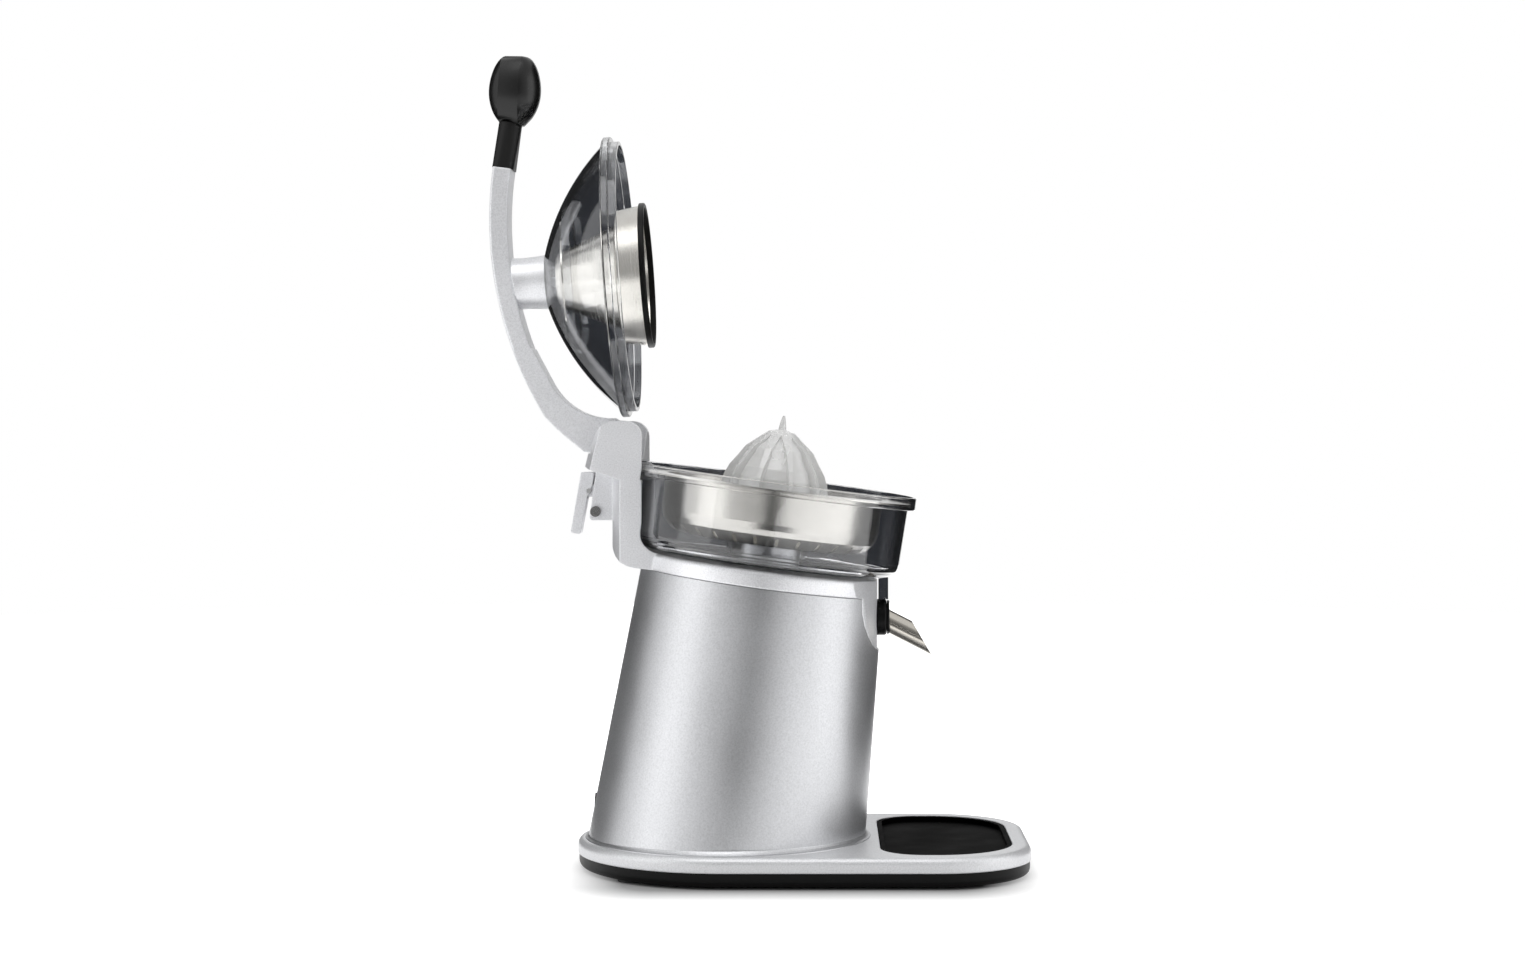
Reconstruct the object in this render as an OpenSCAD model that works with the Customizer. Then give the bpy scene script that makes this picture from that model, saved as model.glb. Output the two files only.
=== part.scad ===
// Electric citrus press with a lever arm, modelled at its real size in millimetres.
// X points to the spout, Y to the left of the press and Z up. The origin is on the table
// under the middle of the press. The lever is drawn fully open.

/* [Base] */
// Radius of the round back of the base, which is also half its width
base_r = 95.5; // [90:0.5:110]
// Distance from the housing axis to the front edge of the base
base_reach = 190.8; // [175:0.1:220]
// Radius of the two front corners of the base
base_corner_r = 60; // [40:1:80]
// Height of the whole base above the table
base_h = 19.5; // [18:0.1:24]
// Height of the black skirt, feet included
skirt_h = 10.3; // [9:0.1:12]
// Radius of the soft edge round the top of the base
base_edge_r = 4; // [2:0.5:5]
// Wall of the base shell
base_wall = 3; // [2.5:0.1:4]
// How far the rubber feet stand out of the base
foot_out = 1.5; // [1:0.1:3]
// Radius of a rubber foot
foot_r = 9; // [6:0.5:12]
// Distance of the housing axis, on top of the base, behind the origin
axis_back = 19; // [15:0.5:25]

/* [Drip tray] */
// Distance of the back edge of the tray from the housing axis
tray_start = 96; // [94:0.5:104]
// Rim of the base in front of the tray
tray_front_rim = 11.4; // [8:0.1:20]
// Rim of the base beside the tray
tray_side_rim = 13.5; // [11:0.5:30]
// Radius of the front corners of the tray
tray_front_r = 48.6; // [30:0.2:55]
// Radius of the back corners of the tray
tray_back_r = 27; // [15:0.5:35]
// Depth of the well that holds the tray
tray_depth = 5.5; // [5:0.1:6]
// Depth of the basin in the tray
basin_depth = 3; // [2:0.1:3.5]

/* [Motor housing] */
// Lean of the housing, the bowl and the reamer towards the spout, in degrees
tilt = 7.6; // [5:0.1:9]
// Radius of the housing at its foot
house_r = 87.7; // [86:0.1:90]
// Radius of the housing under the deck
house_top_r = 77.8; // [76.5:0.1:79]
// Height of the housing along its axis
house_h = 163.6; // [162:0.1:172]
// Wall of the housing
house_wall = 3; // [2:0.1:4]

/* [Frame] */
// Thickness of the deck under the bowl
deck_h = 10.7; // [9:0.1:12]
// Radius of the deck
deck_r = 79.5; // [79:0.1:81]
// Half width of the rear column and its cheeks
column_half_w = 40; // [38:0.5:43]
// Height of the top of the cheeks above the hinge pin
cheek_rise = 10.4; // [9.4:0.1:12.4]
// Half width of the slot between the cheeks
slot_half_w = 30; // [29:0.5:32]
// Half width of the lug that carries the latch lever
lug_half_w = 11; // [10:0.5:14]

/* [Hinge and lever] */
// Distance of the hinge pin behind the housing axis, square to it
hinge_back = 102.3; // [101.5:0.1:103]
// Height of the hinge pin above the top of the housing, along the axis
hinge_rise = 79.1; // [78.4:0.1:80.4]
// Angle that the lever opens to, in degrees
open_angle = 101.4; // [80:0.2:101.4]
// Radius of the hinge pin
pin_r = 4; // [3:0.1:5]
// Radius of the hub of the lever
hub_r = 10.8; // [10:0.1:10.9]
// Outer radius of the long curve of the lever arm
arm_r = 240.7; // [235:0.1:245]
// Thickness of the lever arm
arm_t = 11.5; // [10:0.1:13]
// Width of the lever arm
arm_w = 28; // [24:0.5:34]
// Radius of the knob, square to the arm
knob_r = 16.7; // [14:0.1:20]
// Length of the knob
knob_len = 44; // [38:0.5:50]

/* [Bowl and strainer] */
// Outer radius of the lip of the bowl
lip_r = 91.1; // [90:0.1:92]
// Height of the lip of the bowl
lip_h = 8.1; // [7:0.1:10]
// Outer radius of the bowl under its lip
bowl_r = 86.5; // [85:0.1:87]
// Outer radius of the bowl at its floor
bowl_floor_r = 85.4; // [83:0.1:86]
// Height of the bowl
bowl_h = 53; // [50:0.1:54]
// Wall of the bowl and the dome
clear_wall = 2.5; // [2:0.1:2.8]
// Gap between the deck and the bowl
bowl_gap = 2; // [1.5:0.1:3]
// Outer radius of the strainer basket
strainer_r = 70.3; // [68:0.1:74]
// Depth of the strainer basket
strainer_depth = 36.5; // [34:0.5:38]
// Sheet thickness of the strainer and the press cup
sheet = 1; // [0.8:0.1:1.4]
// Number of drain slots in the strainer
strainer_slots = 30; // [16:2:36]

/* [Reamer] */
// Radius of the foot of the reamer
reamer_r = 36; // [32:0.5:38]
// Height of the reamer from its foot to its tip
reamer_h = 64; // [56:0.5:64]
// Number of ribs on the reamer
reamer_ribs = 10; // [8:1:12]

/* [Dome and press cup] */
// Outer radius of the flange of the dome
flange_r = 89.6; // [88:0.1:89.6]
// Outer radius of the press cup at its mouth
cup_mouth_r = 44.8; // [43:0.1:46]
// Outer radius of the top of the press cup
cup_top_r = 17.3; // [16:0.1:20]
// Outer radius of the black ring on the press cup
ring_r = 46.4; // [46:0.1:48]
// Radius of the stem between the lever arm and the dome
stem_r = 17.4; // [15:0.1:19]

/* [Spout] */
// Depth of the middle of the spout collar below the top of the housing
spout_below = 23; // [21.7:0.1:24.7]
// Distance of the flat front of the shield from the middle of the top of the housing
shield_out = 73.6; // [73.2:0.1:74.2]
// Outer radius of the spout collar
collar_r = 11.5; // [11:0.1:12.5]
// Depth of the spout collar
collar_len = 6; // [5.5:0.1:7]
// Outer radius of the steel spout
spout_r = 6.85; // [6:0.05:7]
// Fall of the steel spout below the level, in degrees
spout_fall = 27; // [15:1:35]

/* [Drive] */
// Radius of the drive spindle
spindle_r = 5; // [4:0.1:6]
// Travel of the spindle that starts the motor
press_travel = 2; // [1.5:0.1:2.2]
// Running clearance on radius of every shaft in its bore
run_gap = 0.05; // [0.03:0.01:0.08]
// Module of the teeth between motor and idler
fast_module = 1; // [0.8:0.05:1.1]
// Module of the teeth between idler and output gear
slow_module = 1.5; // [1.2:0.05:1.6]
// Teeth on the motor pinion
pinion_teeth = 12; // [12:12:12]
// Teeth on the large wheel of the idler
idler_teeth = 48; // [48:48:48]
// Teeth on the small pinion of the idler
small_teeth = 14; // [14:14:14]
// Teeth on the output gear
output_teeth = 50; // [50:50:50]
// Radius of the motor can
motor_r = 30; // [26:0.5:32]

/* [Hidden] */
$fn = 96;
// Steps in a rounded corner, levels in a soft edge, sides of a hulled round
corner_steps = 6;
edge_levels = 4;
hull_sides = 72;
// Overrun of a cut, thickness of a slice in a hull, and the seam between fixed pieces
over = 1;
sliver = 0.02;
seam = 0.4;
fit = 0.02;
rest_gap = 0.3;
// Far enough to cut right through anything
span = 4 * base_r;

// Base
plate_floor = 3;
foot_seat = 1.5;
foot_back_share = 0.6;
foot_front_share = 0.8;
foot_side_share = 0.62;
skirt_inset = 0.6;
base_screw_r = 1.8;
base_head_r = 3.4;
base_head_h = 1.6;
screw_side_share = 0.8;
base_boss_r = 4.5;
tray_len = base_reach - tray_start - tray_front_rim;
tray_w = 2 * (base_r - tray_side_rim);
tray_gap = 0.4;
tray_rim = 3;

// Tie rods between the base and the deck
tie_r = 2.5;
tie_boss_r = 6;
tie_ring = 69;
tie_z0 = 14;
tie_angles = [45, 165, 285];

// Housing and its flared foot, as shares of the flare's height and width
flare_h = 6;
flare_w = 3.4;
flare_in = 0.9;
flare_shares = [[0, 1], [0.07, 0.96], [0.16, 0.66], [0.3, 0.42], [0.5, 0.22], [0.75, 0.08], [1, 0]];
house_dip = (house_r + flare_w) * tan(tilt) + over;
grommet_r = 7;
grommet_rim_r = 8.5;
grommet_rim_h = 0.8;
cord_hole_r = 3.6;
grommet_z = base_h + 2.6 * grommet_r;
grommet_len = 9;

// Places along the leaning axis
deck_top = house_h + deck_h;
bowl_z0 = deck_top + bowl_gap;
bowl_top = bowl_z0 + bowl_h;
lip_z0 = bowl_top - lip_h;
boss_h = 12.7;
boss_top = deck_top + boss_h;
boss_r = 22;
deck_edge_r = 3;
pocket_r0 = 24;
pocket_r1 = 62;
pocket_h = 6.6;

// Hinge pin in the frame of the whole press
function out_x(x, z) = x * cos(tilt) + z * sin(tilt) - axis_back;
function out_z(x, z) = z * cos(tilt) - x * sin(tilt) + base_h;
hinge_up = house_h + hinge_rise;
hinge_x = out_x(-hinge_back, hinge_up);
hinge_z = out_z(-hinge_back, hinge_up);

// Front shield and the place of the spout
shield_x = out_x(0, house_h) + shield_out;
spout_z = out_z(0, house_h) - spout_below;
shield_curve = 104;
shield_t = 6;
shield_half_w = 44;
shield_drop = 19.7;
shield_low = spout_z - shield_drop;
shield_corner_r = 33;

// Rear column, its lobe and slot, set out from the hinge pin
column_top = hinge_z + cheek_rise;
column_ahead = 16.4;
column_behind = 4.5;
column_front = hinge_x + column_ahead;
column_back = hinge_x - column_behind;
column_corner_r = 10;
column_mid = (column_front + column_back) / 2;
column_foot_r = 20;
column_curve = 115;
foot_in = 50;
lobe_behind = 21.7;
lobe_top_behind = 15.5;
lobe_drop = 17.8;
lobe_join_ahead = 2.7;
lobe_join_drop = 26.6;
lobe_back = hinge_x - lobe_behind;
lobe_top_back = hinge_x - lobe_top_behind;
lobe_low = hinge_z - lobe_drop;
lobe_join_x = hinge_x + lobe_join_ahead;
lobe_join_z = hinge_z - lobe_join_drop;
lobe_corner_r = 2;
lobe_crown_out = 4;
lobe_crown_in = 7;
lobe_crown_drop = 20;
lobe_crown_r = 12;
lobe_lean = 13.3;
lobe_curve = 136;
slot_drop = 14.1;
stop_drop = 10.2;
stop_behind = 15.2;
slot_floor = hinge_z - slot_drop;
stop_top = hinge_z - stop_drop;
stop_front = hinge_x - stop_behind;
recess_gap = 2;
recess_corner_r = 12;
recess_lip_gap = 1.4;
recess_step = 2.7;

// Latch lever on the lug, set out from its own pin
latch_behind = 19.2;
latch_drop = 33.9;
latch_x = hinge_x - latch_behind;
latch_z = hinge_z - latch_drop;
// Outline of the latch lever, as shares of its length
latch_len = 38.3;
latch_shares = [[-0.133, 0.308, 0.026], [0.084, 0.308, 0.026], [0.06, 0.1, 0.04],
    [-0.029, -0.097, 0.078], [-0.133, -0.66, 0], [-0.151, -0.726, 0.026], [-0.305, -0.692, 0.026]];
latch_pin_r = 1.5;
latch_half_w = 8;
latch_fork_half_w = 5.8;
latch_eye_r = 4;
latch_room_r = 5.2;
lug_under = 18.7;
lug_above = 14;
lug_low = latch_z - lug_under;
lug_high = latch_z + lug_above;
lug_corner_r = 2;
lug_back = 0.3;
lug_top_back = 5;
lug_screw_ahead = 4.5;
lug_screw_drop = 13.1;
lug_screw_x = latch_x + lug_screw_ahead;
lug_screw_z = latch_z - lug_screw_drop;
lug_screw_r = 1.6;
lug_head_r = 3.4;
lug_head_h = 1.8;

// Lever arm, in its own frame: hinge at 0, X along the closed arm, Z up from the press
arm_cx = 128;
arm_top_z = 73.3;
arm_cz = arm_top_z - arm_r;
arm_a0 = 78.2;
arm_a1 = 114;
arm_edge_r = 1.2;
arm_hub_gap = 0.8;
bush_wall = 2;
root_bow_r = 42.5;
root_bow_x = 55;
root_bow_z = 2;
// Outline of the root of the arm behind and in front of the hub, as shares of its height
root_shares = [[-0.106, 0.3, 0.027], [0.273, 0.709, 1.77], [0.82, 0.955, 0], [0.82, 0.696, 0],
    [0.518, 0.559, 0]];
pin_margin = 3;
cap_r = 5.5;
arm_end_x = arm_cx + (arm_r - arm_t / 2) * cos(arm_a0);
arm_end_z = arm_cz + (arm_r - arm_t / 2) * sin(arm_a0);
grip_dip = 90 - arm_a0;
grip_len = 30;
grip_t = 13.7;
grip_edge_r = 5;
grip_w = 25;
neck_r = 7.4;
knob_dip = 7;
knob_shift = 1.7;
knob_sink = 1.5;
// Outline of the knob, as shares of its radius and length
knob_shares = [[0.443, 0], [0.56, 0.05], [0.71, 0.12], [0.83, 0.2], [0.92, 0.29], [0.975, 0.38],
    [1, 0.47], [0.995, 0.56], [0.965, 0.65], [0.91, 0.74], [0.84, 0.82], [0.75, 0.89], [0.64, 0.95],
    [0.54, 0.985], [0.46, 1]];

// Dome, cup and stem along the dome axis, heights above the hinge pin
stem_z = 38.6;
seat_t = 2.6;
dome_bow_r = 150;
dome_bow_out = 25;
dome_top_z = 40;
dome_bow_z = dome_top_z - sqrt(pow(dome_bow_r, 2) - pow(stem_r + dome_bow_out, 2));
// Waist of the stem, as a share of its radius
stem_waist_share = 0.92;
stem_top_share = 1.05;
seat_r = 20.4;
flange_z0 = -7.7;
flange_z1 = -2.6;
dome_skirt_r = 86.4;
dome_skirt_z = -12.6;
dome_edge_r = 86;
skirt_corner_r = 0.5;
rib_r = 48;
rib_t = 2;
rib_z = 19;
cup_top_z = 32;
cup_neck_z = -6;
cup_neck_r = 33;
cup_step_r = 42.5;
cup_step_z = -7.7;
cup_low_z = -22.2;
ring_low_z = -26;
ring_wall = 2.6;
ring_edge_r = 1.2;
ring_inner_r = 0.6;
ring_back_r = 0.4;
spacer_r = 10;
bolt_r = 3;
bolt_top_z = 52;
bolt_head_r = 6;
bolt_head_h = 1.8;

// Bowl, strainer and reamer
bowl_corner_r = 10;
hat_gap = 1.2;
hat_slack = 1.5;
sleeve_slack = 2;
hat_r = boss_r + hat_slack;
sleeve_r0 = spindle_r + sleeve_slack;
sleeve_h = 7.3;
chute_gap = 0.7;
chute_x = shield_x + chute_gap;
chute_depth = 6.2;
chute_half_w = 7;
chute_wall = 1.5;
chute_z = spout_z + collar_r + rest_gap;
chute_h = 16;
basket_z1 = lip_z0 + clear_wall + rest_gap;
basket_z0 = basket_z1 + sheet - strainer_depth;
basket_taper = 1.5;
basket_corner_r = 15;
basket_lap = 0.4;
basket_side_gap = 1.6;
basket_top_gap = 1.8;
basket_hole_gap = 2;
basket_hat_r = hat_r + clear_wall + basket_side_gap;
basket_hat_z = boss_top + hat_gap + clear_wall + basket_top_gap;
basket_hole_r = sleeve_r0 + clear_wall + basket_hole_gap;
slot_w = 2.2;
slot_r0_share = 0.57;
slot_r1_share = 0.94;
slot_h = 9;
reamer_rise = 96;
reamer_tip_z = deck_top + reamer_rise;
reamer_z0 = reamer_tip_z - reamer_h;
reamer_shares = [[1, 0], [1, 0.1], [0.96, 0.26], [0.925, 0.36], [0.845, 0.46], [0.72, 0.56],
    [0.61, 0.66], [0.4, 0.76], [0.24, 0.835], [0.07, 0.86], [0.05, 0.93], [0.02, 1]];
core_share = 0.86;
rib_root_w = 9;
rib_tip_w = 1.6;
hollow_shares = [[0.78, 0], [0.66, 0.4], [0.42, 0.6]];
reamer_hub_wall = 4;
reamer_hub_r = spindle_r + reamer_hub_wall;
reamer_hub_z = boss_top + hat_gap + clear_wall + sleeve_h + press_travel + rest_gap;
drive_depth_share = 0.5;

// Spout
collar_wall = 2.95;
collar_back_t = 0.7;
collar_edge_r = 1.5;
barrel_r = collar_r - collar_wall - run_gap;
barrel_bore_r = 6.2;
barrel_lip_r = 10.8;
barrel_lip_t = 1.4;
inlet_r = 3;
spout_drop = 1.9;
spout_wall = 0.95;
spout_top_len = 14.6;
spout_low_len = 36;
spout_back = 14;
barrel_edge_r = 0.6;
spout_face = shield_x + collar_len + rest_gap + barrel_lip_t;
spout_cut = over * (spout_low_len - spout_top_len) / (2 * spout_r);

// Gear train along the leaning axis
pressure_angle = 25;
addendum_share = 1;
dedendum_share = 1.22;
backlash = 0.12;
plate_drop = 59.6;
plate_z0 = house_h - plate_drop;
plate_t = 3;
plate_r = 62;
post_r = 4;
post_ring = 56;
gear_space = 2;
fast_z0 = plate_z0 + plate_t + gear_space;
fast_w = 8;
slow_z0 = fast_z0 + fast_w + gear_space;
slow_w = 10;
pinion_margin = 3;
slow_pinion_w = slow_w + pinion_margin;
idler_x = (small_teeth + output_teeth) * slow_module / 2;
fast_centre = (pinion_teeth + idler_teeth) * fast_module / 2;
motor_angle = 210;
motor_x = idler_x + fast_centre * cos(motor_angle);
motor_y = fast_centre * sin(motor_angle);
idler_pin_r = 3;
shoulder_r = 12;
shoulder_h = 3.7;
gear_hub_r = 9;
bush_z0 = slow_z0 + slow_w + shoulder_h + rest_gap;
bush_len = 13;
bush_r = 12;
clip_h = 1.2;
clip_r = 11.4;
clip_margin = 0.6;
hub_top = bush_z0 + bush_len + rest_gap + clip_h + clip_margin;
lower_boss_r = 16;
lower_cavity_r = 12.6;
flat_half = 0.84 * spindle_r;
flat_top = hub_top + press_travel + rest_gap;
top_bush_r = 8;
top_bush_drop = 3.3;
top_bush_z0 = deck_top - top_bush_drop;
top_bush_len = 13;
seal_r = 9.5;
collar_space_r = 10;
spindle_collar_r = 7.8;
spindle_collar_h = 3;
spindle_collar_z = top_bush_z0 - rest_gap - spindle_collar_h;
spindle_under = 2.1;
spindle_low = slow_z0 - spindle_under;
spindle_top = reamer_z0 + drive_depth_share * reamer_h - rest_gap;
spring_wall = 1.6;
switch_len = 16;
switch_w = 10;
switch_h = 7;
plunger_r = 1.6;
plunger_room = 2.6;

// Motor
motor_len = 74;
motor_well_gap = 2;
motor_z0 = plate_z0 - motor_len;
can_wall = 2.5;
can_end_t = 3.5;
can_top = plate_z0 - fit;
shaft_r = 3;
bearing_r = 8;
bearing_h = 7;
stator_r0 = 21;
stator_rise = 15;
stator_z0 = motor_z0 + stator_rise;
stator_len = 42;
armature_r = 19;
winding_r = 15;
winding_len = 7;
commutator_r = 9;
fan_r = 24;
fan_hub_r = 6;
fan_t = 1.5;
fan_h = 6;
fan_blades = 9;
fan_space = 3;
fan_z0 = motor_z0 - fan_h - fan_space;
motor_screw_ring = 14;
motor_screw_r = 2;
motor_head_r = 3.5;
motor_head_h = 2.2;

// Outlines with rounded corners, from points that each hold x, y and a corner radius
function unit(v) = v / norm(v);
function turned(v, a) = [v.x * cos(a) - v.y * sin(a), v.x * sin(a) + v.y * cos(a)];
function flat(p) = [p.x, p.y];
function corner(a, b, c, r) = r == 0 ? [b] : let(
    u = unit(a - b),
    v = unit(c - b),
    half = acos(u * v) / 2,
    centre = b + unit(u + v) * r / sin(half),
    start = b + u * r / tan(half) - centre,
    sweep = sign(u.y * v.x - u.x * v.y) * (180 - 2 * half)
) [for (i = [0 : corner_steps]) centre + turned(start, sweep * i / corner_steps)];
function rounded(p) = let(n = len(p)) [for (i = [0 : n - 1])
    each corner(flat(p[(i + n - 1) % n]), flat(p[i]), flat(p[(i + 1) % n]), p[i].z)];

// Gear outline with involute flanks
function involute(a) = tan(a) * 180 / PI - a;
function tooth_half(r, n, m) = let(pitch_r = n * m / 2, base_circle = pitch_r * cos(pressure_angle))
    90 / n - backlash / pitch_r * 180 / PI + involute(pressure_angle)
    - involute(acos(min(1, base_circle / r)));
function gear_points(n, m, turn) = let(
    pitch_r = n * m / 2,
    root = pitch_r - dedendum_share * m,
    low = max(root, pitch_r * cos(pressure_angle)),
    tip = pitch_r + addendum_share * m,
    radii = [root, low, (low + tip) / 2, tip]
) [for (k = [0 : n - 1]) each [
    for (s = [-1, 1]) for (j = [0 : 3]) let(
        r = s < 0 ? radii[j] : radii[3 - j],
        a = turn + k * 360 / n + s * tooth_half(max(r, low), n, m)
    ) r * [cos(a), sin(a)]
]];
module gear(n, m, h, turn) {
    linear_extrude(h) polygon(gear_points(n, m, turn));
}

// Frames that pieces are drawn in
module leaning() {
    translate([-axis_back, 0, base_h]) rotate([0, tilt, 0]) children();
}
module lever_frame() {
    leaning() translate([-hinge_back, 0, hinge_up]) rotate([0, -open_angle, 0]) children();
}
module dome_axis() {
    lever_frame() translate([hinge_back, 0, 0]) children();
}
module spout_axis() {
    translate([shield_x, 0, spout_z]) rotate([0, 90, 0]) children();
}
module spout_run() {
    translate([shield_x + collar_len, 0, spout_z - spout_drop]) rotate([0, spout_fall, 0]) children();
}
// A side outline, drawn in X and Z, made half_w thick each way in Y
module side(half_w) {
    rotate([90, 0, 0]) translate([0, 0, -half_w]) linear_extrude(2 * half_w) children();
}
// A round bar along Y
module cross_bar(x, z, r, y0, y1) {
    translate([x, y1, z]) rotate([90, 0, 0]) cylinder(h = y1 - y0, r = r);
}
module below(level) {
    translate([-span, -span, level - span]) cube([2 * span, 2 * span, span]);
}
module tube(r0, r1, z0, z1) {
    translate([0, 0, z0]) difference() {
        cylinder(h = z1 - z0, r = r1);
        translate([0, 0, -over]) cylinder(h = z1 - z0 + 2 * over, r = r0);
    }
}
module disc(r, z0, z1) {
    translate([0, 0, z0]) cylinder(h = z1 - z0, r = r);
}

// Base
module base_outline(inset) {
    r = base_r - inset;
    corner_r = base_corner_r - inset;
    run = base_reach - base_corner_r;
    half = base_r - base_corner_r;
    circle(r = r, $fn = hull_sides * 2);
    translate([0, -r]) square([run, 2 * r]);
    for (s = [-1, 1]) translate([run, s * half]) circle(r = corner_r, $fn = hull_sides * 2);
    translate([run, -half]) square([corner_r, 2 * half]);
}
module tray_outline(inset) {
    x0 = tray_start + inset;
    x1 = tray_start + tray_len - inset;
    half = tray_w / 2 - inset;
    back_r = tray_back_r - inset;
    front_r = tray_front_r - inset;
    translate([x0 + back_r, -half]) square([x1 - front_r - x0 - back_r, 2 * half]);
    translate([x0, back_r - half]) square([back_r, 2 * (half - back_r)]);
    translate([x1 - front_r, front_r - half]) square([front_r, 2 * (half - front_r)]);
    for (s = [-1, 1]) {
        translate([x0 + back_r, s * (half - back_r)]) circle(r = back_r);
        translate([x1 - front_r, s * (half - front_r)]) intersection() {
            circle(r = front_r);
            translate([-over, -span]) square([span, 2 * span]);
        }
    }
}
// A base layer with a soft edge at the top, up = 1, or at the bottom, up = 0
module base_profile(r, x0, z0, z1, edge_r, up) {
    polygon(rounded([[x0, z0, 0], [r, z0, edge_r * (1 - up)], [r, z1, edge_r * up], [x0, z1, 0]]));
}
module base_layer(inset, z0, z1, edge_r, up) {
    run = base_reach - base_corner_r;
    half = base_r - base_corner_r;
    rotate_extrude($fn = 2 * $fn) base_profile(base_r - inset, 0, z0, z1, edge_r, up);
    for (s = [-1, 1]) translate([run, s * half, 0])
        rotate_extrude() base_profile(base_corner_r - inset, 0, z0, z1, edge_r, up);
    rotate([90, 0, 90]) linear_extrude(run) polygon(rounded([
        [inset - base_r, z0, edge_r * (1 - up)], [base_r - inset, z0, edge_r * (1 - up)],
        [base_r - inset, z1, edge_r * up], [inset - base_r, z1, edge_r * up]]));
    side(half) base_profile(base_reach - inset, 0, z0, z1, edge_r, up);
}
foot_places = [for (s = [-1, 1]) each [
    [-foot_back_share * base_r, s * foot_side_share * base_r],
    [foot_front_share * base_reach, s * foot_side_share * base_r]
]];
screw_places = [for (s = [-1, 1]) each [
    [0, s * screw_side_share * base_r],
    [foot_front_share * base_reach - 3 * foot_r, s * screw_side_share * base_r]
]];
function screw_end(p) = base_h - 2 * over
    - (p.x > tray_start - base_boss_r ? tray_depth + over : base_wall);
function boss_end(p) = p.x > tray_start - base_boss_r ? skirt_h + over : base_h - base_wall;
tie_places = [for (a = tie_angles) tie_ring * [cos(a), sin(a)]];

module base_plate() color("black") translate([-axis_back, 0, 0]) difference() {
    base_layer(skirt_inset, foot_out, skirt_h - fit, base_edge_r, 0);
    translate([0, 0, foot_out + plate_floor]) linear_extrude(skirt_h) base_outline(skirt_inset + base_wall);
    for (p = foot_places) translate(p) disc(foot_r + fit, foot_out - over, foot_out + foot_seat);
    for (p = screw_places) translate(p) {
        disc(base_head_r + fit, foot_out - over, foot_out + base_head_h);
        disc(base_screw_r + 2 * fit, 0, skirt_h);
    }
}
module base_shell() color("gainsboro") {
    translate([-axis_back, 0, 0]) difference() {
        base_layer(0, skirt_h, base_h, base_edge_r, 1);
        translate([0, 0, skirt_h - over]) linear_extrude(base_h - skirt_h - base_wall + over) difference() {
            base_outline(base_wall);
            tray_outline(-base_wall);
        }
        translate([0, 0, base_h - tray_depth]) linear_extrude(tray_depth + over) tray_outline(0);
        translate([axis_back, 0, 0]) leaning() translate([motor_x, motor_y, 0])
            disc(motor_r + motor_well_gap, -house_dip, house_dip);
        for (p = screw_places) translate(p) disc(base_screw_r + fit, 0, screw_end(p) + over);
    }
    translate([-axis_back, 0, 0]) for (p = screw_places) translate(p)
        tube(base_screw_r + fit, base_boss_r, foot_out + plate_floor, boss_end(p));
    difference() {
        leaning() for (p = tie_places) translate(p) disc(tie_boss_r, -house_dip, tie_z0);
        below(base_h - sliver);
    }
}
module rubber_feet() color("dimgray") translate([-axis_back, 0, 0]) {
    for (p = foot_places) translate(p) disc(foot_r, 0, foot_out + foot_seat);
}
module base_screws() color("silver") translate([-axis_back, 0, 0]) {
    for (p = screw_places) translate(p) {
        disc(base_head_r, foot_out + fit, foot_out + base_head_h);
        disc(base_screw_r, foot_out + fit, screw_end(p));
    }
}
module drip_tray() color("black") translate([-axis_back, 0, 0]) difference() {
    translate([0, 0, base_h - tray_depth + rest_gap]) linear_extrude(tray_depth - 2 * rest_gap)
        tray_outline(tray_gap);
    translate([0, 0, base_h - rest_gap - basin_depth]) linear_extrude(basin_depth + over)
        tray_outline(tray_gap + tray_rim);
}

// Motor housing
function house_radius(z) = house_r + (house_top_r - house_r) * z / house_h;
module lean_cone(grow, z0, z1, sides = $fn) {
    leaning() translate([0, 0, z0])
        cylinder(h = z1 - z0, r1 = house_radius(z0) + grow, r2 = house_radius(z1) + grow, $fn = sides);
}
module house_flare() translate([-axis_back, 0, base_h]) rotate_extrude($fn = 2 * $fn) polygon(concat(
    [[house_r - house_wall + over, 0]],
    [for (p = flare_shares) [house_r - flare_in + p.y * (flare_w + flare_in), p.x * flare_h]],
    [[house_r - house_wall + over, flare_h]]));
module shield_prism(grow) {
    w = shield_half_w + grow;
    low = shield_low - grow;
    high = out_z(0, bowl_top);
    rotate([90, 0, 90]) linear_extrude(span) polygon(rounded([[-w, high, 0], [w, high, 0],
        [w, low, shield_corner_r], [-w, low, shield_corner_r]]));
}
module rear_bar(r, x0, x1) {
    translate([x0, 0, grommet_z]) rotate([0, 90, 0]) cylinder(h = x1 - x0, r = r);
}
grommet_x = -axis_back + (grommet_z - base_h) * sin(tilt) - house_radius(grommet_z - base_h) - grommet_rim_h;
module motor_housing() color("silver") difference() {
    union() {
        difference() {
            lean_cone(0, -house_dip, house_h - seam);
            below(base_h);
        }
        house_flare();
    }
    lean_cone(-house_wall, -house_dip - over, house_h + over);
    shield_prism(seam);
    rear_bar(grommet_r + fit, -base_r - 2 * axis_back, -axis_back);
}
module cord_grommet() color("black") difference() {
    union() {
        rear_bar(grommet_r, grommet_x, grommet_x + grommet_len);
        difference() {
            rear_bar(grommet_rim_r, grommet_x, grommet_x + house_wall);
            lean_cone(fit, -house_dip, house_h / 2);
        }
    }
    rear_bar(cord_hole_r, grommet_x - over, grommet_x + grommet_len + over);
}
module tie_rods() color("silver") leaning() {
    for (p = tie_places) translate(p) disc(tie_r, tie_z0, house_h);
}

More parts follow.
